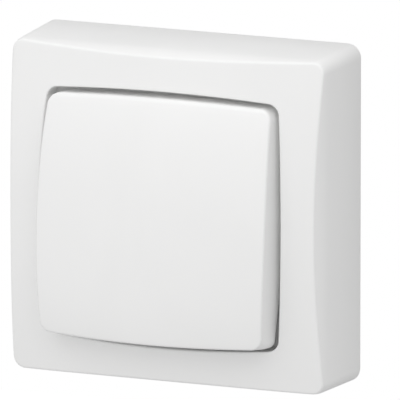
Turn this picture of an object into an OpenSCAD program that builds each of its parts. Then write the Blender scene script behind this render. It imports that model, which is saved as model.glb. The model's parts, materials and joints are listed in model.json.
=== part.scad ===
// Surface mounted light switch: a one-piece box cover with a domed front and a
// barrel-sided opening, a large domed rocker, and the rocking-contact mechanism
// behind it, all carried by a base that is screwed to the wall.
//
// Frame: the wall is the plane Y = 0, the front faces -Y, +Z is up, +X is to the
// right seen from the front, and the origin is the middle of the back.
// "Depth" below is the distance in front of the wall, so y = -depth.
// The rocker is drawn with its top pressed in, and the lower contact is closed.

/* [Cover] */
// Width and height of the square cover at the wall
cover_w = 80; // [78:0.5:84]
// Radius of the four vertical corners at the wall
corner_r = 3.6; // [3.6:0.1:5]
// Depth at which the side walls begin to lean inward
lean_start = 8; // [8:0.1:12]
// Radius of the large arc on which the side walls lean inward
lean_r = 73; // [44:0.1:90]
// Radius of the spherical front of the cover
front_r = 202; // [160:1:240]
// Depth of the sphere's highest point, in the middle of the opening
front_apex = 27.9; // [27:0.1:29.5]
// Thickness of the cover's side walls
wall = 1.8; // [1.2:0.1:2.4]
// Thickness of the cover's front
front_t = 2.2; // [1.6:0.1:2.6]
// Half width of the opening at the middle of a side
open_mid = 30.35; // [30.3:0.05:31.5]
// Half width of the opening at its corners
open_cor = 29; // [28.6:0.1:29.5]
// Radius of the opening's corners
open_r = 3; // [1:0.25:3]
// Depth of the back of the recess floor behind the rocker
recess_d = 16; // [15.5:0.1:16.2]
// Thickness of the recess floor
recess_t = 1.6; // [1.2:0.1:1.8]

/* [Rocker] */
// Half width of the rocker at the middle of a side
rocker_mid = 29; // [28.5:0.1:29.1]
// Half width of the rocker at its corners
rocker_cor = 27.9; // [27.4:0.05:28]
// Radius of the rocker's corners
rocker_cr = 3; // [1.2:0.1:3]
// Radius of the spherical face of the rocker
face_r = 144; // [120:1:180]
// Depth of the face's highest point with the rocker level
face_apex = 34.1; // [33.5:0.05:36]
// Thickness of the face
face_t = 2.2; // [1.6:0.1:2.6]
// Thickness of the skirt
skirt_t = 1.8; // [1.2:0.1:2]
// Depth of the skirt's edge with the rocker level
skirt_d = 21.3; // [20.8:0.1:22.5]
// Tilt of the rocker each way from level, in degrees
tilt = 4.8; // [3.5:0.1:5]
// Depth of the rocker's pivot axis
pivot_d = 20; // [19.5:0.1:20.5]
// Radius of the trunnions
trunnion_r = 2; // [1.6:0.1:2.2]
// Radial play of the trunnions and of the plunger
play = 0.05; // [0.03:0.01:0.1]

/* [Base] */
// Thickness of the floor
floor_t = 2; // [1.6:0.1:2.4]
// Depth of the rim that the cover slips over
rim_d = 7; // [5:0.5:8]
// Thickness of the rim
rim_t = 1.5; // [1.2:0.1:2]
// Gap between the rim and the cover
rim_gap = 0.3; // [0.2:0.05:0.5]
// Distance between the two wall screw slots
slot_spacing = 60; // [58:0.5:61]
// Width of a wall screw slot
slot_w = 4.4; // [3.6:0.1:4.8]
// End-to-end length of a wall screw slot
slot_l = 9; // [7:0.5:9.5]
// Width of the cable entry
entry_w = 22; // [16:1:24]
// Height of the cable entry
entry_h = 10; // [8:0.5:10]

/* [Mechanism] */
// Half width of the mechanism housing
mech_x = 19; // [18.5:0.25:19.5]
// Half height of the mechanism housing
mech_z = 21; // [20.5:0.25:21.5]
// Depth of the back of the mechanism housing
mech_d0 = 5; // [4.8:0.1:5]
// Depth of the front of the mechanism housing
mech_d1 = 17; // [16.8:0.1:17]
// Tilt of the rocking contact each way from level, in degrees
contact_tilt = 8.4; // [8:0.1:8.4]
// Depth of the axis that the contact rocks about
fulcrum_d = 9.9; // [9.9:0.01:9.95]
// Distance of a moving contact tip from that axis
tip_z = 9.5; // [9.4:0.05:9.5]
// Turns of the plunger spring
spring_turns = 7; // [5:1:9]
// Radius of the spring wire
spring_wire_r = 0.2; // [0.15:0.01:0.25]

/* [Hidden] */
$fn = 72;
big = 360;                       // facets of the large, shallow arcs and spheres
half = cover_w / 2;
core = half - corner_r;          // fixed centres of the corner radii
base_half = half - wall - rim_gap;
blade_t = 0.8;
bead_r = 0.5;
strip_d0 = 6.2;                  // back of the brass strips
strip_d1 = 7.0;                  // front of the brass strips
pad_d1 = 9.5;                    // front of the terminal pads
term_x = 13;                     // terminal positions
term_z = 9.5;
post = 23;                       // cover screw positions
mscrew_z = 17;                   // mechanism screw positions
spring_d0 = 18.06;
spring_d1 = 23.74;
spring_mean = 1.3;

// ---------- helpers ----------

// A 2D outline in X-Z, extruded from depth d0 to depth d1
module slab(d0, d1) rotate([90, 0, 0]) translate([0, 0, d0]) linear_extrude(height = d1 - d0) children();

// A round bar or hole along the depth
module rod(r, d0, d1, x = 0, z = 0) translate([x, -d0, z]) rotate([90, 0, 0]) cylinder(r = r, h = d1 - d0);

// A block between two X, two depths and two Z
module block(x0, x1, d0, d1, z0, z1) translate([x0, -d1, z0]) cube([x1 - x0, d1 - d0, z1 - z0]);

// A square with round corners: h is its half width
module round_square(h, r) {
    square([2 * h, 2 * (h - r)], center = true);
    square([2 * (h - r), 2 * h], center = true);
    for (sx = [-1, 1], sz = [-1, 1]) translate([sx * (h - r), sz * (h - r)]) circle(r = r);
}

// A stadium: w is its end-to-end width along X, h its height
module stadium(w, h) {
    square([w - h, h], center = true);
    for (s = [-1, 1]) translate([s * (w - h) / 2, 0]) circle(r = h / 2);
}

function side_arc(mid, cor) = (cor * cor + (mid - cor) * (mid - cor)) / (2 * (mid - cor));
function corner_pos(a, q) = (sqrt(2 * q * q - a * a) - a) / 2;

// A square whose four sides bow outward on large arcs, with round corners:
// mid is its half width at the middle of a side, cor at the sharp corner
module barrel(mid, cor, rc) {
    R = side_arc(mid, cor);
    a = R - mid;
    q = R - rc;
    t = corner_pos(a, q);
    reach = -a + R * (t + a) / q + R * t / q;
    intersection() {
        translate([-a, 0]) circle(r = R, $fn = big);
        translate([a, 0]) circle(r = R, $fn = big);
        translate([0, -a]) circle(r = R, $fn = big);
        translate([0, a]) circle(r = R, $fn = big);
        rotate(45) square(sqrt(2) * reach, center = true);
    }
    // the corner discs stay a hair inside the arcs, so that no two edges are tangent
    for (sx = [-1, 1], sz = [-1, 1]) translate([sx * (t - 0.04), sz * (t - 0.04)]) circle(r = rc);
}

// A large sphere whose highest point lies at depth apex
module ball(R, apex) translate([0, R - apex, 0]) sphere(r = R, $fn = big);

// The cover's outer form, moved inward by t: walls straight to lean_start, then
// leaning in on an arc, with corners that follow them; from depth d0
module lean_profile(h, t, d0, d1) {
    translate([-(h - t), -lean_start]) square([2 * (h - t), lean_start - d0]);
    intersection() {
        translate([-(h - t), -d1]) square([2 * (h - t), d1 - lean_start]);
        translate([h - lean_r, -lean_start]) circle(r = lean_r - t, $fn = big);
        translate([lean_r - h, -lean_start]) circle(r = lean_r - t, $fn = big);
    }
}
module lean_corner(t, d0, d1) {
    rotate([90, 0, 0]) rotate_extrude() {
        translate([0, d0]) square([corner_r - t, lean_start - d0]);
        intersection() {
            translate([0, lean_start]) square([corner_r - t, d1 - lean_start]);
            translate([corner_r - lean_r, lean_start]) circle(r = lean_r - t, $fn = big);
        }
    }
}
module cover_form(t, d0) {
    linear_extrude(height = 2 * core, center = true) lean_profile(half, t, d0, 32);
    rotate([0, 90, 0]) linear_extrude(height = 2 * core, center = true) lean_profile(half, t, d0, 32);
    for (sx = [-1, 1], sz = [-1, 1]) translate([sx * core, 0, sz * core]) lean_corner(t, d0, 24);
}

// Poses: the rocker turns about its pivot axis, the contact about its round bead
module rocker_pose() translate([0, -pivot_d, 0]) rotate([-tilt, 0, 0]) translate([0, pivot_d, 0]) children();
module contact_pose() translate([0, -fulcrum_d, 0]) rotate([contact_tilt, 0, 0]) translate([0, fulcrum_d, 0]) children();

// ---------- enclosure ----------

module base_plate() color([0.93, 0.93, 0.92]) difference() {
    union() {
        slab(0, floor_t) round_square(base_half, corner_r - wall - rim_gap);
        slab(0, rim_d) difference() {
            round_square(base_half, corner_r - wall - rim_gap);
            square(2 * (base_half - rim_t), center = true);
        }
        // raised pads round the wall screw slots
        for (s = [-1, 1]) translate([s * slot_spacing / 2, 0, 0])
            slab(0, floor_t + 1) stadium(min(slot_l + 3.4, 12.4), slot_w + 6);
        // posts for the cover screws
        for (s = [-1, 1]) rod(3.4, 0, recess_d - 0.1, -s * post, s * post);
        // bosses for the mechanism screws, and the pads it rests on
        for (s = [-1, 1]) rod(3.3, 0, mech_d0, 0, s * mscrew_z);
        for (sx = [-1, 1], sz = [-1, 1]) block(sx * 15.5 - 2.5, sx * 15.5 + 2.5, 0, mech_d0, sz * 17.5 - 2.5, sz * 17.5 + 2.5);
    }
    for (s = [-1, 1]) translate([s * slot_spacing / 2, 0, 0]) slab(-1, floor_t + 2) stadium(slot_l, slot_w);
    translate([0, 0, -28.5]) slab(-1, floor_t + 1) stadium(entry_w, entry_h);
    // break-out closed by a thin skin, for a cable from above
    translate([0, 0, 28.5]) slab(-1, floor_t - 0.7) stadium(entry_w, entry_h);
    for (s = [-1, 1]) rod(1.5, 7, recess_d, -s * post, s * post);
    for (s = [-1, 1]) rod(1.5, 1, mech_d0 + 1, 0, s * mscrew_z);
    // gaps in the rim for a cable run on the wall
    for (s = [-1, 1]) block(-8, 8, floor_t + 0.5, rim_d + 1, s * base_half - 3, s * base_half + 3);
}

module outer_cover() color([0.96, 0.96, 0.95]) difference() {
    union() {
        difference() {
            intersection() {
                cover_form(0, 0);
                ball(front_r, front_apex);
            }
            intersection() {
                cover_form(wall, -1);
                ball(front_r - front_t, front_apex - front_t);
            }
        }
        // collar round the opening, and the block of the recess floor
        intersection() {
            slab(recess_d, 32) barrel(open_mid + 1.5, open_cor + 1.5, open_r + 1.2);
            ball(front_r - 0.8, front_apex - 0.8);
        }
    }
    slab(recess_d + recess_t, 34) barrel(open_mid, open_cor, open_r);
    // window for the mechanism
    slab(recess_d - 1, recess_d + recess_t + 1) square([2 * mech_x + 0.6, 2 * mech_z + 0.6], center = true);
    for (s = [-1, 1]) rod(1.7, recess_d - 1, recess_d + recess_t + 1, -s * post, s * post);
    // thinned break-out inside the bottom wall, for a cable run on the wall
    block(-8, 8, 1, 13, -half + wall / 2, -half + wall + 1);
}

module screw(shank_r, head_r, d0, d1, d2, x, z) difference() {
    union() {
        rod(shank_r, d0, d1, x, z);
        rod(head_r, d1, d2, x, z);
    }
    block(x - head_r - 1, x + head_r + 1, d2 - 0.9, d2 + 1, z - 0.4, z + 0.4);
}

module cover_screws() color([0.75, 0.76, 0.78])
    for (s = [-1, 1]) screw(1.45, 2.8, 7.5, recess_d + recess_t, recess_d + recess_t + 1.8, -s * post, s * post);

// ---------- rocker ----------

module rocker_cap() color([0.97, 0.97, 0.96]) rocker_pose() {
    difference() {
        intersection() {
            slab(skirt_d, 40) barrel(rocker_mid, rocker_cor, rocker_cr);
            ball(face_r, face_apex);
        }
        intersection() {
            slab(skirt_d - 1, 40) barrel(rocker_mid - skirt_t, rocker_cor - skirt_t, rocker_cr - 1);
            ball(face_r - face_t, face_apex - face_t);
        }
    }
    // two walls that stand on the carrier, each with a hooked tongue through it
    for (s = [-1, 1]) {
        intersection() {
            block(s * 8.6 - 0.7, s * 8.6 + 0.7, 26.6, 36, -9, 9);
            ball(face_r - 1, face_apex - 1);
        }
        block(s * 8.6 - 0.7, s * 8.6 + 0.7, 23.2, 27, -1.9, 1.9);
        block(s * 8.95 - 0.95, s * 8.95 + 0.95, 23.2, 24.3, -1.9, 1.9);
    }
    // stiffening rib across the face
    intersection() {
        block(-8, 8, 28.6, 36, -0.6, 0.6);
        ball(face_r - 1, face_apex - 1);
    }
}

module rocker_carrier() color([0.80, 0.81, 0.80]) rocker_pose() difference() {
    union() {
        block(-13.4, 13.4, 24.5, 26.5, -5.5, 5.5);
        rod(3.3, 12.9, 25, 0, 0);
        for (s = [-1, 1]) {
            block(s * 12.5 - 0.9, s * 12.5 + 0.9, 17.8, 25, -3.6, 3.6);
            translate([s * 14.75, -pivot_d, 0]) rotate([0, 90, 0]) cylinder(r = trunnion_r, h = 3.7, center = true);
            // gussets between the tube and the plate
            block(s * 5 - 2.2, s * 5 + 2.2, 22, 25, -0.6, 0.6);
        }
    }
    rod(2, 12, 23.8, 0, 0);
    for (s = [-1, 1]) block(s * 8.6 - 0.9, s * 8.6 + 1.5, 24, 27, -2.1, 2.1);
}

module plunger() color([0.92, 0.88, 0.75]) rocker_pose() {
    rod(2 - play, 12.5, 18, 0, 0);
    rod(1.4, 12.25, 12.6, 0, 0);
    translate([0, -12.25, 0]) sphere(r = 1.4);
    rod(0.8, 17.9, 19.6, 0, 0);
}

// Rings of points along the coil, closed and ground at its ends
function coil_point(i, n) =
    let (u = i / n, a = 360 * spring_turns * u,
         e = 0.9 / spring_turns,
         w = u < e ? u * 0.25 : (u > 1 - e ? 1 - (1 - u) * 0.25 : e * 0.25 + (u - e) * (1 - 0.5 * e) / (1 - 2 * e)),
         d = spring_d0 + spring_wire_r + w * (spring_d1 - spring_d0 - 2 * spring_wire_r))
    [spring_mean * cos(a), -d, spring_mean * sin(a), a];
module coil(n, m) {
    pts = [for (i = [0:n]) let (c = coil_point(i, n), a = c[3])
           for (j = [0:m - 1]) let (b = 360 * j / m, q = spring_wire_r * cos(b))
           [c[0] + q * cos(a), c[1] + spring_wire_r * sin(b), c[2] + q * sin(a)]];
    sides = [for (i = [0:n - 1], j = [0:m - 1]) let (k = (j + 1) % m)
             [i * m + j, (i + 1) * m + j, (i + 1) * m + k, i * m + k]];
    polyhedron(points = pts, faces = concat([[for (j = [0:m - 1]) j]], sides, [[for (j = [m - 1:-1:0]) n * m + j]]));
}
module plunger_spring() color([0.70, 0.71, 0.73]) rocker_pose() coil(spring_turns * 14, 6);

// ---------- mechanism ----------

module mechanism_housing() color([0.86, 0.86, 0.84]) difference() {
    union() {
        block(-mech_x, mech_x, mech_d0, mech_d1, -mech_z, mech_z);
        // ears that carry the trunnions
        for (s = [-1, 1]) {
            block(s * 15.3 - 1.5, s * 15.3 + 1.5, mech_d1 - 1, pivot_d, -4.2, 4.2);
            translate([s * 15.3, -pivot_d, 0]) rotate([0, 90, 0]) cylinder(r = 4.2, h = 3, center = true);
        }
    }
    translate([0, -pivot_d, 0]) rotate([0, 90, 0]) cylinder(r = trunnion_r + play, h = 60, center = true);
    // pocket for the strips and the back
    block(-17.3, 17.3, mech_d0 - 1, strip_d1 + 0.1, -13.5, 13.5);
    // contact chamber, and the window that the carrier's tube swings in
    block(-5.2, 5.2, 6, 14.5, -13, 13);
    block(-4.3, 4.3, 14, 18, -5.2, 5.2);
    // terminal chambers, with a hole for each screw and a slot for its wires
    for (p = [[1, -1], [-1, 1], [-1, -1]]) {
        block(p[0] * term_x - 3.5, p[0] * term_x + 3.5, 6, 12.8, p[1] * term_z - 3.1, p[1] * term_z + 3.1);
        rod(2.85, 12, 18, p[0] * term_x, p[1] * term_z);
        block(p[0] * 18 - 2, p[0] * 18 + 2, pad_d1, 12, p[1] * term_z - 2.6, p[1] * term_z + 2.6);
    }
    for (s = [-1, 1]) {
        rod(1.7, 0, 18, 0, s * mscrew_z);
        rod(3, 14, 18, 0, s * mscrew_z);
    }
}

module mechanism_back() color([0.25, 0.25, 0.26]) block(-17.1, 17.1, mech_d0, strip_d0, -13.3, 13.3);

module mechanism_screws() color([0.75, 0.76, 0.78])
    for (s = [-1, 1]) screw(1.45, 2.8, 1.4, 14, 15.8, 0, s * mscrew_z);

module contact_blade() color([0.80, 0.62, 0.32]) contact_pose() difference() {
    union() {
        block(-2.5, 2.5, fulcrum_d, fulcrum_d + blade_t, -10.8, 10.8);
        block(-4.5, 4.5, fulcrum_d, fulcrum_d + blade_t, -0.8, 0.8);
        // round bead that it rocks on, seated in the common strip's ears
        translate([0, -fulcrum_d, 0]) rotate([0, 90, 0]) cylinder(r = bead_r, h = 9, center = true);
    }
    for (s = [-1, 1]) rod(0.72, fulcrum_d - 1, fulcrum_d + 2, 0, s * tip_z);
}

module moving_contact_tips() color([0.85, 0.86, 0.88]) contact_pose() for (s = [-1, 1]) {
    intersection() {
        rod(1.5, fulcrum_d - 0.8, fulcrum_d, 0, s * tip_z);
        translate([0, -(fulcrum_d - 0.75 + 5.7), s * tip_z]) sphere(r = 5.7, $fn = 180);
    }
    rod(0.7, fulcrum_d - 0.2, fulcrum_d + blade_t + 0.2, 0, s * tip_z);
    rod(1.2, fulcrum_d + blade_t, fulcrum_d + blade_t + 0.35, 0, s * tip_z);
}

module terminal_pad(x, z) {
    block(x - 3.2, x + 3.2, strip_d0, pad_d1, z - 2.8, z + 2.8);
}

module common_strip() color([0.78, 0.60, 0.30]) difference() {
    union() {
        block(-4.2, 9, strip_d0, strip_d1, -2.2, 2.2);
        block(5.8, 9, strip_d0, strip_d1, -12.3, 2.2);
        block(8, 12, strip_d0, strip_d1, -12.3, -6.7);
        terminal_pad(term_x, -term_z);
        for (s = [-1, 1]) block(s * 3.6 - 0.4, s * 3.6 + 0.4, strip_d1 - 0.4, 12, -2.2, 2.2);
    }
    rod(1.8, 5, 11, term_x, -term_z);
    // open notches with round seats, which the contact's bead and tabs rock in
    block(-6, 6, fulcrum_d - 0.25, 13, -1.15, 1.15);
    translate([0, -fulcrum_d, 0]) rotate([0, 90, 0]) cylinder(r = bead_r + play, h = 12, center = true);
}

module contact_strip(s) difference() {
    union() {
        block(-16.2, 2.6, strip_d0, strip_d1, s * term_z - 2.8, s * term_z + 2.8);
        terminal_pad(-term_x, s * term_z);
    }
    rod(1.8, 5, 11, -term_x, s * term_z);
    rod(0.72, 5, 8, 0, s * 9.9);
}
module upper_contact_strip() color([0.78, 0.60, 0.30]) contact_strip(1);
module lower_contact_strip() color([0.78, 0.60, 0.30]) contact_strip(-1);

module fixed_tip(s) {
    rod(1.6, strip_d1, 7.65, 0, s * 9.9);
    rod(0.7, strip_d0, strip_d1 + 0.1, 0, s * 9.9);
}
module upper_fixed_tip() color([0.85, 0.86, 0.88]) fixed_tip(1);
module lower_fixed_tip() color([0.85, 0.86, 0.88]) fixed_tip(-1);

module clamp_plate(x, z) difference() {
    union() {
        block(x - 3.1, x + 3.1, 10.9, 12, z - 2.7, z + 2.7);
        for (s = [-1, 1]) block(x - 3.1, x + 3.1, 10.3, 11.2, z + s * 2.4 - 0.3, z + s * 2.4 + 0.3);
    }
    rod(1.95, 10, 13, x, z);
}
module common_clamp_plate() color([0.72, 0.73, 0.75]) clamp_plate(term_x, -term_z);
module upper_clamp_plate() color([0.72, 0.73, 0.75]) clamp_plate(-term_x, term_z);
module lower_clamp_plate() color([0.72, 0.73, 0.75]) clamp_plate(-term_x, -term_z);

module common_terminal_screw() color([0.75, 0.76, 0.78]) screw(1.72, 2.7, 6.5, 14.9, 16.7, term_x, -term_z);
module upper_terminal_screw() color([0.75, 0.76, 0.78]) screw(1.72, 2.7, 6.5, 14.9, 16.7, -term_x, term_z);
module lower_terminal_screw() color([0.75, 0.76, 0.78]) screw(1.72, 2.7, 6.5, 14.9, 16.7, -term_x, -term_z);

base_plate();
outer_cover();
cover_screws();
rocker_cap();
rocker_carrier();
plunger();
plunger_spring();
mechanism_housing();
mechanism_back();
mechanism_screws();
contact_blade();
moving_contact_tips();
common_strip();
upper_contact_strip();
lower_contact_strip();
upper_fixed_tip();
lower_fixed_tip();
common_clamp_plate();
upper_clamp_plate();
lower_clamp_plate();
common_terminal_screw();
upper_terminal_screw();
lower_terminal_screw();
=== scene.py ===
"""Looks for a surface mounted light switch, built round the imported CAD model.

Lengths below are in millimetres and turned into metres where meshes are made. "Depth" is the distance
in front of the wall, so y = -depth. The outline numbers repeat the CAD source's own parameters.
"""
import bpy
import bmesh
import json
import math
import numpy as np
from mathutils import Matrix, Vector


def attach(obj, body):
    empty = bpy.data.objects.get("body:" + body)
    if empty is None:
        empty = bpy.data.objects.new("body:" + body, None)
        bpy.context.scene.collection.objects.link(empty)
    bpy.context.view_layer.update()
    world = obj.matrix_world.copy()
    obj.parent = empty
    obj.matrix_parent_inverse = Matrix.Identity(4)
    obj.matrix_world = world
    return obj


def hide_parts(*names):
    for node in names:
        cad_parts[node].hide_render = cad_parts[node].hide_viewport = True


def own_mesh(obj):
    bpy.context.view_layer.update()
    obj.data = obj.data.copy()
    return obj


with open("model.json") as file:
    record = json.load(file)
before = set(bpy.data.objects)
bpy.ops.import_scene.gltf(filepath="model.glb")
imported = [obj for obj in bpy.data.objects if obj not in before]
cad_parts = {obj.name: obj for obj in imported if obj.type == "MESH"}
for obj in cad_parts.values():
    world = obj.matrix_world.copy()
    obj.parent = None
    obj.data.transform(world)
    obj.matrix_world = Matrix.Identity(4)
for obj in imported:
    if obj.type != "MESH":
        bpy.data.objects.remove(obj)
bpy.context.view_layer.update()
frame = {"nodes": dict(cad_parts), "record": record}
NODES = frame["nodes"]
MM = 0.001

# ---------------------------------------------------------------- shape numbers (mm)
HALF = 40.0                                   # half width of the cover at the wall
DRAFT, SHOULDER_D, SHOULDER_R = 0.035, 17.7, 22.2  # side walls: a steady draft, then a shoulder that bends inward
CORNER = (3.3, 2.8)                           # radius of the upright corners, at the wall and 24 in front of it
FRONT_R, FRONT_APEX, FRONT_T, WALL_T = 202.0, 27.9, 2.2, 1.8
OPEN = (30.33, 28.97, 3.0)                    # opening: mid, corner, corner radius
RECESS_D, RECESS_T = 16.0, 1.6
WINDOW = (19.3, 21.3)
ROCKER = (28.72, 27.85, 3.0)
FLARE, FLARE_MAX = 0.02, 0.13                 # the rocker's walls spread towards the wall, then run straight
FACE_R, FACE_APEX, FACE_T = 144.0, 33.9, 2.2
ROLL_OFF, LEAN_MORE, SIT_LOW = 0.6, 0.6, 0.45   # the face falls away towards its top and bottom edges; the cap sits a little turned and low
SKIRT_D, SKIRT_V, SKIRT_T = 18.15, 2.7, 1.8        # the foot is cut in a shallow V, to clear the recess at both tilts
CORNER_OUT = 0.50                              # how much fuller the two lower corners get below the face
TILT, PIVOT_D = 4.8, 20.0
EDGE_FILLET, LIP_FILLET, ROCKER_FILLET = 0.75, 0.35, 0.68
N_SIDE, N_CORNER = 30, 16                     # points on a side and on a corner, of each ring

SIDE = np.linspace(-1.0, 1.0, N_SIDE + 1)
QUAD = N_SIDE + N_CORNER


# ---------------------------------------------------------------- outlines
def turn(x, z, k):
    """A quarter turn k times."""
    for _ in range(k):
        x, z = -z, x
    return x, z


def ring_of(side, corner):
    """Points and outward normals round a four-sided outline from one side (x, z, nx, nz by s) and one corner (by angle)."""
    xs, zs, nx, nz = [], [], [], []
    for k in range(4):
        for block in (side(k), corner(k)):
            a, b, c, d = block
            x, z = turn(a, b, k)
            u, v = turn(c, d, k)
            xs.append(x), zs.append(z), nx.append(u), nz.append(v)
    return tuple(np.concatenate(v) for v in (xs, zs, nx, nz))


def barrel(mid, cor, rc):
    """A square whose sides bow outward on large arcs, with round corners."""
    R = (cor * cor + (mid - cor) ** 2) / (2 * (mid - cor))
    a, q = R - mid, R - rc
    t = (math.sqrt(2 * q * q - a * a) - a) / 2
    al = math.atan2(t, t + a)
    th = SIDE * al
    ph = np.linspace(al, math.pi / 2 - al, N_CORNER + 1)[1:-1]
    side = lambda k: (-a + R * np.cos(th), R * np.sin(th), np.cos(th), np.sin(th))
    corner = lambda k: (t + rc * np.cos(ph), t + rc * np.sin(ph), np.cos(ph), np.sin(ph))
    return ring_of(side, corner)


def rect(hx, hz, r):
    """A rectangle with round corners."""
    ph = np.linspace(0, math.pi / 2, N_CORNER + 1)[1:-1]

    def sizes(k):
        return (hx, hz) if k % 2 == 0 else (hz, hx)

    def side(k):
        a, b = sizes(k)
        return a + 0 * SIDE, SIDE * (b - r), 1 + 0 * SIDE, 0 * SIDE

    def corner(k):
        a, b = sizes(k)
        return a - r + r * np.cos(ph), b - r + r * np.sin(ph), np.cos(ph), np.sin(ph)
    return ring_of(side, corner)


def lean(d):
    d = np.asarray(d, float)
    e = np.clip(d - SHOULDER_D, 0, 12)
    return DRAFT * d + SHOULDER_R - np.sqrt(SHOULDER_R ** 2 - e ** 2)


def box_ring(depth, off=0.0):
    """The cover's outer form at these depths (one for each point), moved inward by off."""
    d = np.broadcast_to(np.asarray(depth, float), (4 * QUAD,))
    ph = np.linspace(0, math.pi / 2, N_CORNER + 1)[1:-1]
    n = N_SIDE + 1

    def parts(k):
        dk = d[k * QUAD:(k + 1) * QUAD]
        h = HALF - lean(dk)
        r = CORNER[0] + (CORNER[1] - CORNER[0]) * np.minimum(dk, 25) / 24
        return h, r

    def side(k):
        h, r = parts(k)
        h, r = h[:n], r[:n]
        return h - off, SIDE * (h - r), 1 + 0 * SIDE, 0 * SIDE

    def corner(k):
        h, r = parts(k)
        h, r = h[n:], r[n:]
        q = np.maximum(r - off, 0.35)
        c = h - off - q
        return c + q * np.cos(ph), c + q * np.sin(ph), np.cos(ph), np.sin(ph)
    return ring_of(side, corner)


def dome(R, apex, x, z):
    return apex - R + np.sqrt(R * R - x * x - z * z)


def pts(x, z, d):
    return np.stack([x, -np.broadcast_to(d, x.shape), z], -1)


def unit(v):
    return v / np.linalg.norm(v, axis=-1, keepdims=True)


def arc(E, t1, t2, radius, n):
    """Rings of a rounded edge at E, from the face that runs along t1 to the one along t2."""
    t1, t2 = unit(t1), unit(t2)
    c = np.clip((t1 * t2).sum(-1, keepdims=True), -1, 1)
    half = np.arccos(c) / 2
    m = unit(t1 + t2)
    C = E + m * radius / np.sin(half)
    a = unit(E + t1 * radius / np.tan(half) - C)
    b = unit(E + t2 * radius / np.tan(half) - C)
    om = np.arccos(np.clip((a * b).sum(-1, keepdims=True), -1, 1))
    out = []
    for i in range(n + 1):
        f = i / n
        out.append(C + radius * (np.sin((1 - f) * om) * a + np.sin(f * om) * b) / np.sin(om))
    return out


def between(A, B, n, both=False):
    """n rings strictly between A and B."""
    return [A + (B - A) * (i / (n + 1)) for i in range(1, n + 1)]


# ---------------------------------------------------------------- mesh helpers
def new_object(name, verts, faces, scale=MM):
    me = bpy.data.meshes.new(name)
    me.from_pydata([tuple(v * scale) for v in np.asarray(verts, float)], [], faces)
    me.validate(clean_customdata=False)
    me.update()
    ob = bpy.data.objects.new(name, me)
    bpy.context.scene.collection.objects.link(ob)
    return ob


def loft(name, rings, closed=False, start=None, end=None):
    """A skin over rings of equal length; closed joins the last to the first, start and end are pole points."""
    n = len(rings[0])
    verts = list(np.concatenate(rings))
    faces = []
    m = len(rings)
    for i in range(m if closed else m - 1):
        a, b = i * n, ((i + 1) % m) * n
        for j in range(n):
            k = (j + 1) % n
            faces.append((a + j, a + k, b + k, b + j))
    if start is not None:
        verts.append(np.asarray(start, float))
        s = len(verts) - 1
        faces += [(s, (j + 1) % n, j) for j in range(n)]
    if end is not None:
        verts.append(np.asarray(end, float))
        s = len(verts) - 1
        a = (m - 1) * n
        faces += [(s, a + j, a + (j + 1) % n) for j in range(n)]
    ob = new_object(name, verts, faces)
    fix_normals(ob)
    return ob


def fix_normals(ob):
    bm = bmesh.new()
    bm.from_mesh(ob.data)
    bmesh.ops.recalc_face_normals(bm, faces=bm.faces)
    bm.to_mesh(ob.data)
    bm.free()


def smooth(ob, angle=32):
    ob.data.shade_smooth()
    ob.data.set_sharp_from_angle(angle=math.radians(angle))


def flatten(ob):
    """Normals that keep the large faces flat and bend over the small rounded ones."""
    m = ob.modifiers.new("normals", "WEIGHTED_NORMAL")
    m.mode, m.weight, m.keep_sharp = "FACE_AREA", 80, True
    apply_modifiers(ob)


def apply_modifiers(ob):
    dg = bpy.context.evaluated_depsgraph_get()
    dg.update()
    me = bpy.data.meshes.new_from_object(ob.evaluated_get(dg), preserve_all_data_layers=False, depsgraph=dg)
    old = ob.data
    ob.modifiers.clear()
    ob.data = me
    me.name = ob.name
    bpy.data.meshes.remove(old)


def tidy(ob, dist=0.002):
    """Merges doubles, and drops loose points and faces with no area."""
    bm = bmesh.new()
    bm.from_mesh(ob.data)
    bmesh.ops.remove_doubles(bm, verts=bm.verts, dist=dist * MM)
    bmesh.ops.dissolve_degenerate(bm, dist=0.0005 * MM, edges=bm.edges)
    loose = [v for v in bm.verts if not v.link_faces]
    bmesh.ops.delete(bm, geom=loose, context="VERTS")
    bm.to_mesh(ob.data)
    bm.free()


def boolean(ob, cutters, operation):
    for c in cutters:
        m = ob.modifiers.new("b", "BOOLEAN")
        m.operation, m.object, m.solver = operation, c, "EXACT"
    apply_modifiers(ob)
    for c in cutters:
        me = c.data
        bpy.data.objects.remove(c)
        bpy.data.meshes.remove(me)


def soft_box(x0, x1, d0, d1, z0, z1, bevel=0.25, segments=2):
    """A block with rounded edges, as a cutter or as moulded detail."""
    bm = bmesh.new()
    bmesh.ops.create_cube(bm, size=1.0)
    for v in bm.verts:
        v.co = Vector(((x0 + x1) / 2 + v.co.x * (x1 - x0), -(d0 + d1) / 2 + v.co.y * (d1 - d0),
                       (z0 + z1) / 2 + v.co.z * (z1 - z0))) * MM
    if bevel:
        bmesh.ops.bevel(bm, geom=list(bm.edges), offset=bevel * MM, segments=segments, profile=0.5, affect="EDGES")
    me = bpy.data.meshes.new("block")
    bm.to_mesh(me)
    bm.free()
    ob = bpy.data.objects.new("block", me)
    bpy.context.scene.collection.objects.link(ob)
    return ob


def lathe(name, profile, x=0.0, z=0.0, n=48):
    """Closed solid of revolution about a depth axis: profile is (radius, depth) from pole to pole."""
    th = np.linspace(0, 2 * math.pi, n, endpoint=False)
    rings = [np.stack([x + r * np.cos(th), np.full(n, -d), z + r * np.sin(th)], -1) for r, d in profile[1:-1]]
    ob = loft(name, rings, start=(x, -profile[0][1], z), end=(x, -profile[-1][1], z))
    return ob


def join(name, obs):
    bm = bmesh.new()
    for o in obs:
        bm.from_mesh(o.data)
    me = bpy.data.meshes.new(name)
    bm.to_mesh(me)
    bm.free()
    for o in obs:
        old = o.data
        bpy.data.objects.remove(o)
        bpy.data.meshes.remove(old)
    ob = bpy.data.objects.new(name, me)
    bpy.context.scene.collection.objects.link(ob)
    return ob


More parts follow.
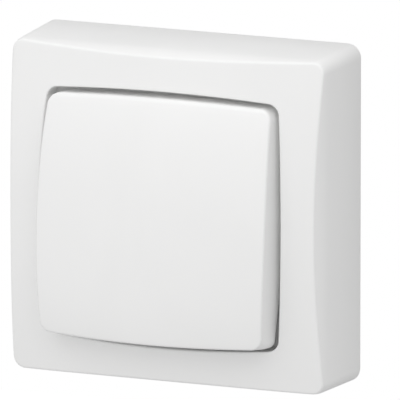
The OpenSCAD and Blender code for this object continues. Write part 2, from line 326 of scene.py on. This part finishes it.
def tilt_mesh(ob, degrees, depth):
    """Turns a mesh about an X axis at that depth, as the CAD poses do."""
    c = Vector((0, -depth * MM, 0))
    ob.data.transform(Matrix.Translation(c) @ Matrix.Rotation(math.radians(degrees), 4, "X") @ Matrix.Translation(-c))


# ---------------------------------------------------------------- materials
class Tree:
    """Short way to write a node tree. Texture coordinates are the object's own, in millimetres."""

    def __init__(self, name):
        self.mat = bpy.data.materials.new(name)
        self.mat.use_nodes = True
        self.nt = self.mat.node_tree
        self.nt.nodes.clear()
        self.out = self.nt.nodes.new("ShaderNodeOutputMaterial")
        self.bsdf = self.nt.nodes.new("ShaderNodeBsdfPrincipled")
        self.nt.links.new(self.bsdf.outputs[0], self.out.inputs[0])
        tc = self.nt.nodes.new("ShaderNodeTexCoord")
        self.mm = self.scaled(tc.outputs["Object"], (1000, 1000, 1000))

    def node(self, kind, **props):
        n = self.nt.nodes.new(kind)
        for k, v in props.items():
            setattr(n, k, v)
        return n

    def link(self, a, b):
        self.nt.links.new(a, b)

    def scaled(self, vector, scale, rotation=(0, 0, 0)):
        m = self.node("ShaderNodeMapping", vector_type="POINT")
        m.inputs["Scale"].default_value = scale
        m.inputs["Rotation"].default_value = rotation
        self.link(vector, m.inputs["Vector"])
        return m.outputs[0]

    def noise(self, scale, detail=3.0, rough=0.5, stretch=None, distortion=0.0):
        n = self.node("ShaderNodeTexNoise")
        n.inputs["Scale"].default_value = scale
        n.inputs["Detail"].default_value = detail
        n.inputs["Roughness"].default_value = rough
        n.inputs["Distortion"].default_value = distortion
        self.link(self.scaled(self.mm, stretch) if stretch else self.mm, n.inputs["Vector"])
        return n.outputs["Fac"]

    def cells(self, scale, smoothness=0.6):
        n = self.node("ShaderNodeTexVoronoi", feature="SMOOTH_F1")
        n.inputs["Scale"].default_value = scale
        n.inputs["Smoothness"].default_value = smoothness
        self.link(self.mm, n.inputs["Vector"])
        return n.outputs["Distance"]

    def remap(self, value, a, b, c, d):
        n = self.node("ShaderNodeMapRange")
        for k, v in zip(("From Min", "From Max", "To Min", "To Max"), (a, b, c, d)):
            n.inputs[k].default_value = v
        self.link(value, n.inputs["Value"])
        return n.outputs[0]

    def math(self, op, a, b):
        n = self.node("ShaderNodeMath", operation=op)
        for s, v in zip(n.inputs, (a, b)):
            if isinstance(v, (int, float)):
                s.default_value = v
            else:
                self.link(v, s)
        return n.outputs[0]

    def ramp(self, value, stops):
        n = self.node("ShaderNodeValToRGB")
        e = n.color_ramp.elements
        while len(e) < len(stops):
            e.new(0.5)
        for el, (pos, col) in zip(e, stops):
            el.position, el.color = pos, (*col, 1)
        self.link(value, n.inputs[0])
        return n.outputs[0]

    def bump(self, height, strength, distance, normal=None):
        n = self.node("ShaderNodeBump")
        n.inputs["Strength"].default_value = strength
        n.inputs["Distance"].default_value = distance
        self.link(height, n.inputs["Height"])
        if normal is not None:
            self.link(normal, n.inputs["Normal"])
        return n.outputs[0]


def shade(col, k):
    return tuple(min(1.0, c * k) for c in col)


def moulded(name, colour, rough, grain=0.0, grain_scale=3.0, ior=1.5, coat=0.0, spread=0.012, pores=0.05):
    """Moulded plastic: slow drifts of colour and gloss from the melt's flow, a fine skin, and an eroded grain where asked."""
    t = Tree(name)
    drift = t.noise(0.045, 4, 0.55, stretch=(1.0, 1.0, 0.7), distortion=0.6)
    t.link(t.ramp(drift, [(0.30, shade(colour, 1 - spread)), (0.52, colour), (0.72, shade(colour, 1 + spread * 0.6))]),
           t.bsdf.inputs["Base Color"])
    fine = t.noise(2.4, 5, 0.62)
    cloud = t.noise(0.11, 3, 0.5)
    r = t.math("ADD", t.remap(cloud, 0.3, 0.7, rough - 0.03, rough + 0.03), t.remap(fine, 0.3, 0.7, -0.035, 0.035))
    t.link(r, t.bsdf.inputs["Roughness"])
    skin = t.bump(fine, pores, 0.00003)
    if grain:
        eroded = t.math("ADD", t.cells(grain_scale), t.math("MULTIPLY", t.noise(grain_scale * 2.3, 4, 0.6), 0.6))
        skin = t.bump(eroded, grain, 0.00006, skin)
    t.link(skin, t.bsdf.inputs["Normal"])
    t.bsdf.inputs["IOR"].default_value = ior
    if coat:
        t.bsdf.inputs["Coat Weight"].default_value = coat
        t.bsdf.inputs["Coat Roughness"].default_value = 0.12
    return t.mat


def metal(name, colour, dark, rough, stretch, scale=2.0, tarnish=0.5, scratch=0.12, axis_scale=1.0):
    """Drawn, stamped or plated metal: a grain along one axis, patches of tarnish, and scratches in the gloss."""
    t = Tree(name)
    patch = t.noise(0.35, 6, 0.62, distortion=0.8)
    streak = t.noise(scale, 6, 0.7, stretch=stretch)
    mix = t.math("ADD", t.math("MULTIPLY", patch, tarnish), t.math("MULTIPLY", streak, 1 - tarnish))
    t.link(t.ramp(mix, [(0.30, dark), (0.48, colour), (0.70, shade(colour, 1.08))]), t.bsdf.inputs["Base Color"])
    t.bsdf.inputs["Metallic"].default_value = 1.0
    t.link(t.math("ADD", t.remap(streak, 0.3, 0.7, rough - 0.06, rough + 0.08), t.remap(patch, 0.35, 0.65, -0.04, 0.06)),
           t.bsdf.inputs["Roughness"])
    t.link(t.bump(streak, scratch, 0.00004, t.bump(patch, 0.08, 0.00008)), t.bsdf.inputs["Normal"])
    return t.mat


MATS = {
    "cover_plastic": moulded("white_cover_plastic", (0.95, 0.95, 0.946), 0.36, ior=1.49, pores=0.05),
    "rocker_plastic": moulded("white_rocker_plastic", (0.95, 0.95, 0.946), 0.34, ior=1.49, pores=0.04),
    "base_plastic": moulded("satin_base_plastic", (0.83, 0.83, 0.80), 0.5, grain=0.35, grain_scale=2.2, spread=0.02),
    "carrier_plastic": moulded("grey_carrier_plastic", (0.62, 0.63, 0.62), 0.46, grain=0.25, grain_scale=2.6, spread=0.03),
    "housing_plastic": moulded("pale_housing_plastic", (0.74, 0.74, 0.70), 0.52, grain=0.4, grain_scale=2.4, spread=0.025),
    "natural_nylon": moulded("natural_nylon", (0.80, 0.74, 0.58), 0.4, grain=0.12, grain_scale=3.0, spread=0.05),
    "insulator": moulded("pressed_insulator", (0.055, 0.055, 0.06), 0.6, grain=0.5, grain_scale=1.6, spread=0.25),
    "screw_steel": metal("zinc_plated_steel", (0.62, 0.64, 0.68), (0.42, 0.43, 0.45), 0.30, (1, 6, 1), tarnish=0.6),
    "spring_steel": metal("drawn_spring_wire", (0.50, 0.51, 0.53), (0.30, 0.30, 0.31), 0.28, (1, 1, 1), scale=5.0, tarnish=0.4),
    "strip_brass": metal("rolled_brass_strip", (0.72, 0.50, 0.20), (0.42, 0.27, 0.10), 0.30, (0.5, 6, 6), tarnish=0.55),
    "contact_silver": metal("silver_rivet", (0.84, 0.83, 0.80), (0.60, 0.57, 0.50), 0.24, (2, 2, 2), scale=3.0, tarnish=0.7),
}
SLOT_OF = {s["node"]: s["material_slot"] for s in frame["record"]["subparts"]}
BODY_OF = {n: b for b, ns in frame["record"]["behaviour"]["bodies"].items() for n in ns}


def wear(ob, slot):
    ob.data.materials.clear()
    ob.data.materials.append(MATS[slot])
    for p in ob.data.polygons:
        p.material_index = 0


def stand_for(ob, *nodes):
    """The piece takes the nodes' place: same body, same material slot."""
    slot = SLOT_OF[nodes[0]]
    wear(ob, slot)
    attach(ob, BODY_OF[nodes[0]])
    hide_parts(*nodes)
    return ob


for n, o in NODES.items():
    wear(o, SLOT_OF[n])


# ---------------------------------------------------------------- the cover
def make_cover():
    rings = []
    up, back = np.array([0.0, -1.0, 0.0]), np.array([0.0, 1.0, 0.0])

    def nrm(x, z, nx, nz, k=1.0):
        return np.stack([k * nx, 0 * nx, k * nz], -1)

    # back edge, rounded a little, from the flat back up into the side wall
    x, z, nx, nz = box_ring(0.0)
    rings += arc(pts(x, z, 0.0), nrm(x, z, nx, nz, -1), up + 0 * pts(x, z, 0.0), 0.3, 3)
    # where wall and front meet, for each point round
    d = np.full(4 * QUAD, 23.0)
    for _ in range(30):
        x, z, nx, nz = box_ring(d)
        d = dome(FRONT_R, FRONT_APEX, x, z)
    dE = d
    E = pts(x, z, dE)
    below = box_ring(dE - 0.6)
    t1 = pts(below[0], below[1], dE - 0.6) - E
    slope = (x * nx + z * nz) / np.sqrt(FRONT_R ** 2 - x * x - z * z)
    t2 = np.stack([-nx, -slope, -nz], -1)
    fil = arc(E, t1, t2, EDGE_FILLET, 8)
    dA = -fil[0][:, 1]
    steps = np.concatenate([[0.045, 0.12, 0.22, 0.32, 0.42], np.linspace(0.5, 0.975, 15)])
    for f in steps:
        dd = 0.3 + (dA - 0.3) * f
        x, z, _, _ = box_ring(dd)
        rings.append(pts(x, z, dd))
    rings += fil
    # the domed front, from the rounded edge to the lip of the opening
    ox, oz, onx, onz = barrel(*OPEN)
    G = pts(ox, oz, dome(FRONT_R, FRONT_APEX, ox, oz))
    oslope = (ox * onx + oz * onz) / np.sqrt(FRONT_R ** 2 - ox * ox - oz * oz)
    lip = arc(G, np.stack([onx, oslope, onz], -1), back + 0 * G, LIP_FILLET, 8)
    B, A = fil[-1], lip[0]
    for f in np.linspace(0, 1, 16)[1:-1]:
        q = B + (A - B) * f
        q[:, 1] = -dome(FRONT_R, FRONT_APEX, q[:, 0], q[:, 2])
        rings.append(q)
    rings += lip
    # down the collar, round into the recess floor
    foot = arc(pts(ox, oz, RECESS_D + RECESS_T), up + 0 * G, nrm(ox, oz, onx, onz, -1), 0.5, 4)
    rings += between(lip[-1], foot[0], 3)
    rings += foot
    wx, wz, wnx, wnz = rect(*WINDOW, 0.8)
    W = pts(wx, wz, RECESS_D + RECESS_T)
    edge = arc(W, nrm(wx, wz, wnx, wnz), back + 0 * W, 0.25, 3)
    rings += between(foot[-1], edge[0], 4)
    rings += edge
    # back of the recess floor, collar's outside
    W2 = pts(wx, wz, RECESS_D)
    edge2 = arc(W2, up + 0 * W2, nrm(wx, wz, wnx, wnz), 0.2, 2)
    rings += edge2
    cx, cz, cnx, cnz = barrel(OPEN[0] + 1.5, OPEN[1] + 1.5, OPEN[2] + 1.2)
    C0 = pts(cx, cz, RECESS_D)
    out = arc(C0, nrm(cx, cz, cnx, cnz, -1), up + 0 * C0, 0.3, 2)
    rings += between(edge2[-1], out[0], 3)
    rings += out
    Ri, Ai = FRONT_R - FRONT_T, FRONT_APEX - FRONT_T
    C1 = pts(cx, cz, dome(Ri, Ai, cx, cz))
    cs = (cx * cnx + cz * cnz) / np.sqrt(Ri ** 2 - cx * cx - cz * cz)
    inner = arc(C1, back + 0 * C1, np.stack([cnx, cs, cnz], -1), 0.4, 3)
    rings += between(out[-1], inner[0], 3)
    rings += inner
    # inside of the front and of the side walls
    d = np.full(4 * QUAD, 21.0)
    for _ in range(30):
        x, z, nx, nz = box_ring(d, WALL_T)
        d = dome(Ri, Ai, x, z)
    E2 = pts(x, z, d)
    bl = box_ring(d - 0.6, WALL_T)
    s2 = (x * nx + z * nz) / np.sqrt(Ri ** 2 - x * x - z * z)
    turn_in = arc(E2, np.stack([-nx, -s2, -nz], -1), pts(bl[0], bl[1], d - 0.6) - E2, 0.35, 3)
    for q in between(inner[-1], turn_in[0], 5):
        q[:, 1] = -dome(Ri, Ai, q[:, 0], q[:, 2])
        rings.append(q)
    rings += turn_in
    dB = -turn_in[-1][:, 1]
    for f in np.linspace(1, 0, 10)[1:-1]:
        dd = 0.35 + (dB - 0.35) * f
        x, z, _, _ = box_ring(dd, WALL_T)
        rings.append(pts(x, z, dd))
    x, z, nx, nz = box_ring(0.0, WALL_T)
    rings += arc(pts(x, z, 0.0), up + 0 * pts(x, z, 0.0), nrm(x, z, nx, nz), 0.25, 2)
    ob = loft("cover_shell", rings, closed=True)
    cut = [lathe("hole", [(0, 15), (1.7, 15), (1.7, 18.6), (0, 18.6)], s * -23, s * 23, 40) for s in (-1, 1)]
    cut.append(soft_box(-8, 8, 1, 13, -39.1, -37.0, 0.3, 3))
    boolean(ob, cut, "DIFFERENCE")
    tidy(ob)
    smooth(ob, 30)
    return ob


# ---------------------------------------------------------------- the rocker
def face_depth(x, z):
    return dome(FACE_R, FACE_APEX, x, z) - ROLL_OFF * (np.abs(z) / 29) ** 6


def skirt_foot(z):
    return SKIRT_D + SKIRT_V * np.abs(z) / 28.9


def make_rocker():
    back = np.array([0.0, 1.0, 0.0])
    up = -back
    x, z, nx, nz = barrel(*ROCKER)
    E = pts(x, z, face_depth(x, z))
    slope = (x * nx + z * nz) / np.sqrt(FACE_R ** 2 - x * x - z * z) + ROLL_OFF * 6 / 29 * (np.abs(z) / 29) ** 5 * np.abs(nz)
    nr = np.stack([nx, 0 * nx, nz], -1)
    soft = (ROCKER_FILLET + 0.75 * np.clip(nz, 0, 1) ** 4)[:, None]      # rounder along the top edge
    edge = arc(E, np.stack([-nx, -slope, -nz], -1), back + FLARE * nr, soft, 9)
    A = edge[0]
    rings = []
    for f in np.linspace(0, 1, 24)[1:-1]:
        q = A * [f, 0, f]
        q[:, 1] = -face_depth(q[:, 0], q[:, 2])
        rings.append(q)
    rings += edge
    reach = -skirt_foot(z) - 0.9 - edge[-1][:, 1]              # from the rounded edge to just above the skirt's foot
    for f in (0.1, 0.25, 0.4, 0.6, 0.8, 1.0):
        wide = np.minimum(FLARE * f * reach, FLARE_MAX)[:, None]
        g = min(f / 0.5, 1.0)
        wide = wide + (CORNER_OUT * g * g * (3 - 2 * g) * (2 * np.abs(nx) * np.clip(-nz, 0, 1)) ** 2)[:, None]
        q = edge[-1] + nr * wide
        q[:, 1] += f * reach
        rings.append(q)
    S = q + back * 0.9
    foot = arc(S, up + 0 * S, -nr, 0.35, 3)
    rings += foot
    ix, iz, inx, inz = barrel(ROCKER[0] - SKIRT_T, ROCKER[1] - SKIRT_T, 0.6)
    inr = np.stack([inx, 0 * inx, inz], -1)
    S2 = pts(ix, iz, skirt_foot(z)) + inr * wide
    foot2 = arc(S2, inr, up + 0 * S2, 0.35, 3)
    rings += foot2
    Ri, Ai = FACE_R - FACE_T, FACE_APEX - FACE_T
    F2 = pts(ix, iz, dome(Ri, Ai, ix, iz))
    si = (ix * inx + iz * inz) / np.sqrt(Ri ** 2 - ix * ix - iz * iz)
    bend = arc(F2, back + 0 * F2, np.stack([-inx, -si, -inz], -1), 0.5, 4)
    rings += between(foot2[-1], bend[0], 3)
    rings += bend
    for f in np.linspace(1, 0, 9)[1:-1]:
        q = bend[-1] * [f, 0, f]
        q[:, 1] = -dome(Ri, Ai, q[:, 0], q[:, 2])
        rings.append(q)
    ob = loft("rocker_paddle", rings, start=(0, -FACE_APEX, 0), end=(0, -Ai, 0))
    ob.data.transform(Matrix.Translation((0, 0, -SIT_LOW * MM)))
    tilt_mesh(ob, -LEAN_MORE, PIVOT_D)
    add = []
    for s in (-1, 1):
        add.append(soft_box(s * 8.6 - 0.7, s * 8.6 + 0.7, 26.6, 32.4, -9, 9, 0.2))
        add.append(soft_box(s * 8.6 - 0.7, s * 8.6 + 0.7, 23.2, 27.2, -1.9, 1.9, 0.15))
        add.append(soft_box(s * 8.95 - 0.95, s * 8.95 + 0.95, 23.2, 24.3, -1.9, 1.9, 0.15))
    add.append(soft_box(-8, 8, 28.6, 32.6, -0.6, 0.6, 0.15))
    boolean(ob, add, "UNION")
    tidy(ob)
    tilt_mesh(ob, -TILT, PIVOT_D)
    smooth(ob, 30)
    return ob


stand_for(make_cover(), "outer_cover")
stand_for(make_rocker(), "rocker_cap")


# ---------------------------------------------------------------- screws
def make_screw(name, x, z, d0, d1, d2, shank_r, head_r, pitch, depth, point):
    """A pan-head screw along the depth: d0 its tip, d1 under the head, d2 the head's top, with a helical thread."""
    n = 36
    th = np.linspace(0, 2 * math.pi, n, endpoint=False)
    rows = []
    run = d1 - d0
    steps = int(math.ceil(run / pitch * 8))
    for i in range(steps + 1):
        d = d0 + run * i / steps
        f = (d / pitch + th / (2 * math.pi)) % 1.0
        saw = np.abs(f - 0.5) * 2                      # crest at 0, root at 1
        saw = np.clip((saw - 0.12) / 0.7, 0, 1)
        fade = min(1.0, max(0.0, (d1 - 0.5 - d) / 0.6))
        start = min(1.0, (d - d0) / (point * shank_r) + (0.45 if point < 1.2 else 0.08))
        r = (shank_r - depth * saw * fade) * (min(1.0, start) if start < 1 else 1.0)
        rows.append(np.stack([x + r * np.cos(th), np.full(n, -d), z + r * np.sin(th)], -1))
    h = d2 - d1
    head = [(head_r - 0.12, d1), (head_r, d1 + 0.12)]
    for a in np.linspace(0, 1, 9)[1:]:
        ang = a * math.pi / 2
        head.append((head_r * (1 - 0.42 * (1 - math.cos(ang * 0.98)) ** 1.4) if a < 1 else head_r * 0.56,
                     d1 + 0.12 + (h - 0.12 - 0.10) * math.sin(ang) ** 1.15))
    head.append((head_r * 0.3, d2 - 0.02))
    for r, d in head:
        rows.append(np.stack([x + r * np.cos(th), np.full(n, -d), z + r * np.sin(th)], -1))
    ob = loft(name, rows, start=(x, -d0, z), end=(x, -d2, z))
    # combined slot and cross
    w, L, deep = 0.8, head_r + 0.6, 0.9
    slot = soft_box(x - L, x + L, d2 - deep, d2 + 1, z - w / 2, z + w / 2, 0)
    cross = soft_box(x - w / 2, x + w / 2, d2 - deep - 0.15, d2 + 1, z - head_r * 0.62, z + head_r * 0.62, 0)
    pit = lathe("pit", [(0, d2 - deep - 0.45), (0.28, d2 - deep - 0.42), (0.78, d2 - 0.25), (0.8, d2 + 1), (0, d2 + 1)], x, z, 20)
    boolean(ob, [slot, cross, pit], "DIFFERENCE")
    tidy(ob, 0.001)
    return ob


def screws(name, node, places, **kw):
    obs = [make_screw(f"{name}_{i}", x, z, **kw) for i, (x, z) in enumerate(places)]
    ob = join(name, obs) if len(obs) > 1 else obs[0]
    ob.name = name
    smooth(ob, 34)
    return stand_for(ob, node)


tapping = dict(pitch=1.1, depth=0.34, point=2.2)
screws("cover_screw_pair", "cover_screws", [(-23, 23), (23, -23)], d0=7.5, d1=17.6, d2=19.4, shank_r=1.45, head_r=2.8, **tapping)
screws("mechanism_screw_pair", "mechanism_screws", [(0, 17), (0, -17)], d0=1.4, d1=14, d2=15.8, shank_r=1.45, head_r=2.8, **tapping)
for label, x, z in (("common", 13, -9.5), ("upper", -13, 9.5), ("lower", -13, -9.5)):
    screws(f"{label}_clamp_screw", f"{label}_terminal_screw", [(x, z)], d0=6.5, d1=14.9, d2=16.7,
           shank_r=1.72, head_r=2.7, pitch=0.6, depth=0.3, point=1.0)


# ---------------------------------------------------------------- the plunger's spring
def make_spring():
    turns, wire, mean, a, b = 7, 0.2, 1.3, 18.06, 23.74
    n, m = turns * 40, 12
    e = 0.9 / turns
    rings = []
    for i in range(n + 1):
        u = i / n
        w = u * 0.25 if u < e else (1 - (1 - u) * 0.25 if u > 1 - e else e * 0.25 + (u - e) * (1 - 0.5 * e) / (1 - 2 * e))
        d = a + wire + w * (b - a - 2 * wire)
        t = 2 * math.pi * turns * u
        q = np.linspace(0, 2 * math.pi, m, endpoint=False)
        rr = mean + wire * np.cos(q)
        dd = np.clip(d - wire * np.sin(q), a + 0.02, b - 0.02)      # ground flat at both ends
        rings.append(np.stack([rr * math.cos(t), -dd, rr * math.sin(t)], -1))
    ob = loft("plunger_coil", rings, start=rings[0].mean(0), end=rings[-1].mean(0))
    tilt_mesh(ob, -TILT, PIVOT_D)
    smooth(ob, 50)
    return ob


coil = stand_for(make_spring(), "plunger_spring")
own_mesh(coil)


# ---------------------------------------------------------------- moulded and stamped edges on the other parts
def rounded(node, name, width, segments=2, angle=35, extra=None):
    """A copy of the CAD shape with its sharp edges broken, as a mould or a deburred stamping leaves them."""
    me = NODES[node].data.copy()
    me.name = name
    ob = bpy.data.objects.new(name, me)
    bpy.context.scene.collection.objects.link(ob)
    bm = bmesh.new()
    bm.from_mesh(me)
    bmesh.ops.remove_doubles(bm, verts=bm.verts, dist=0.0015 * MM)
    bmesh.ops.dissolve_limit(bm, angle_limit=math.radians(0.6), verts=bm.verts, edges=bm.edges, delimit=set())
    bm.to_mesh(me)
    bm.free()
    if extra:
        extra(ob)
    m = ob.modifiers.new("bevel", "BEVEL")
    m.width, m.segments, m.limit_method, m.angle_limit = width * MM, segments, "ANGLE", math.radians(angle)
    m.use_clamp_overlap, m.miter_outer = True, "MITER_ARC"
    apply_modifiers(ob)
    tidy(ob, 0.001)
    smooth(ob, 34)
    flatten(ob)
    return stand_for(ob, node)


rounded("base_plate", "base_moulding", 0.22)
rounded("rocker_carrier", "carrier_moulding", 0.18)
rounded("mechanism_housing", "housing_moulding", 0.2)
rounded("mechanism_back", "insulating_plate", 0.15)
rounded("plunger", "plunger_pin", 0.12)
rounded("contact_blade", "rocking_blade", 0.1)
rounded("common_strip", "common_stamping", 0.1)
rounded("upper_contact_strip", "upper_stamping", 0.1)
rounded("lower_contact_strip", "lower_stamping", 0.1)
for label in ("common", "upper", "lower"):
    rounded(f"{label}_clamp_plate", f"{label}_pressure_plate", 0.1)

# ---------------------------------------------------------------- camera
AZ, EL, ROLL, DIST, TX, TZ = 23.009, 11.851, -0.010, 3106.6, -0.566, -0.144
a, e = math.radians(AZ), math.radians(EL)
back = Vector((math.sin(a) * math.cos(e), -math.cos(a) * math.cos(e), math.sin(e)))
cam = bpy.data.objects.new("camera", bpy.data.cameras.new("camera"))
cam.data.lens, cam.data.sensor_width = 1200.0, 36.0
cam.data.clip_start, cam.data.clip_end = 0.05, 100.0
cam.location = Vector((TX, 0, TZ)) * MM + back * DIST * MM
q = (-back).to_track_quat("-Z", "Y")
cam.rotation_mode = "QUATERNION"
cam.rotation_quaternion = q @ Matrix.Rotation(math.radians(-ROLL), 3, "Z").to_quaternion()
bpy.context.scene.collection.objects.link(cam)
bpy.context.scene.camera = cam

# ---------------------------------------------------------------- studio
scene = bpy.context.scene
scene.view_settings.view_transform = "Standard"
scene.view_settings.look = "None"
scene.view_settings.exposure = 0.0
scene.view_settings.gamma = 1.0
scene.cycles.max_bounces = 16                 # light goes deep into the narrow gap round the rocker
scene.cycles.diffuse_bounces = 10

# soft light from all round: broad lobes of radiance, each towards (x, y, z); -y is the side the part is seen from
LOBES = (
    ((-1, -1, -1), 0.608), ((-1, -1, 0), 0.340), ((-1, -1, 1), 0.753), ((-1, 0, -1), 0.087),
    ((-1, 0, 0), 0.290), ((-1, 0, 1), 0.210), ((-1, 1, -1), 0.290), ((-1, 1, 0), 0.319),
    ((-1, 1, 1), 0.290), ((0, -1, -1), 0.492), ((0, -1, 0), 0.210), ((0, -1, 1), 0.948),
    ((0, 0, -1), 0.253), ((0, 0, 1), 0.948), ((0, 1, -1), 0.319), ((0, 1, 0), 0.594),
    ((0, 1, 1), 0.319), ((1, -1, -1), 0.413), ((1, -1, 0), 0.376), ((1, -1, 1), 0.804),
    ((1, 0, -1), 0.087), ((1, 0, 0), 0.087), ((1, 0, 1), 0.630), ((1, 1, -1), 0.094),
    ((1, 1, 0), 0.398), ((1, 1, 1), 0.203),
)
FLAG = (0.43, 0.84)                         # how brightly the two frames glow, near and far
world = bpy.data.worlds.new("studio")
scene.world = world
world.use_nodes = True
nt = world.node_tree
nt.nodes.clear()


def world_node(kind, operation=None, *values):
    n = nt.nodes.new(kind)
    if operation:
        n.operation = operation
    for s, v in zip(n.inputs, values):
        if isinstance(v, bpy.types.NodeSocket):
            nt.links.new(v, s)
        else:
            s.default_value = v
    return n


w_tc = world_node("ShaderNodeTexCoord")
total = None
for towards, weight in LOBES:
    d = world_node("ShaderNodeVectorMath", "DOT_PRODUCT", w_tc.outputs["Generated"], Vector(towards).normalized())
    c = world_node("ShaderNodeMath", "MAXIMUM", d.outputs["Value"], 0.0)
    p = world_node("ShaderNodeMath", "POWER", c.outputs[0], 6.0)
    m = world_node("ShaderNodeMath", "MULTIPLY_ADD", p.outputs[0], weight, 0.0 if total is None else total)
    total = m.outputs[0]
w_bg = world_node("ShaderNodeBackground")
w_bg.inputs["Color"].default_value = (0.937, 0.937, 0.937, 1)
nt.links.new(total, w_bg.inputs["Strength"])
w_plain = world_node("ShaderNodeBackground")                # what is seen past the floor: plain white
w_plain.inputs["Color"].default_value = (1.0, 1.0, 1.0, 1)
w_seen = world_node("ShaderNodeMixShader", None, world_node("ShaderNodeLightPath").outputs["Is Camera Ray"],
                    w_bg.outputs[0], w_plain.outputs[0])
w_out = world_node("ShaderNodeOutputWorld")
nt.links.new(w_seen.outputs[0], w_out.inputs[0])


def flag(name, a, b, y, glow):
    """A flat frame round the outline, level with its back and out of the camera's sight: it shades the side walls
    towards the back, as the surface behind the object in the photo does."""
    v = [(-a, y, -a), (a, y, -a), (a, y, a), (-a, y, a), (-b, y, -b), (b, y, -b), (b, y, b), (-b, y, b)]
    ob = new_object(name, v, [(i, (i + 1) % 4, 4 + (i + 1) % 4, 4 + i) for i in range(4)])
    t = Tree(name)
    t.bsdf.inputs["Base Color"].default_value = (0.02, 0.02, 0.02, 1)
    t.bsdf.inputs["Roughness"].default_value = 1.0
    t.bsdf.inputs["Specular IOR Level"].default_value = 0.0
    t.bsdf.inputs["Emission Color"].default_value = (1, 1, 1, 1)
    t.bsdf.inputs["Emission Strength"].default_value = glow
    ob.data.materials.append(t.mat)
    ob.visible_camera = False
    return ob


flag("flag_near", 40.3, 60, 0.4, FLAG[0])
flag("flag_far", 60, 95, 0.4, FLAG[1])

# floor: plain and pale, far enough below that the part, which hangs on a wall in use, throws no hard shadow
FLOOR_Z = -3.0
fl = bmesh.new()
bmesh.ops.create_grid(fl, x_segments=1, y_segments=1, size=12.0)
fme = bpy.data.meshes.new("floor")
fl.to_mesh(fme)
fl.free()
floor = bpy.data.objects.new("floor", fme)
floor.location = (0, 0, FLOOR_Z)
scene.collection.objects.link(floor)
t = Tree("pale_floor")
t.link(t.ramp(t.noise(0.002, 2, 0.5), [(0.3, (0.93, 0.93, 0.93)), (0.7, (0.95, 0.95, 0.95))]), t.bsdf.inputs["Base Color"])
t.bsdf.inputs["Roughness"].default_value = 0.9
t.bsdf.inputs["Specular IOR Level"].default_value = 0.0
t.bsdf.inputs["Emission Color"].default_value = (1, 1, 1, 1)
t.bsdf.inputs["Emission Strength"].default_value = 0.5
fme.materials.append(t.mat)
floor.visible_diffuse = False
floor.visible_glossy = False
floor.visible_shadow = False
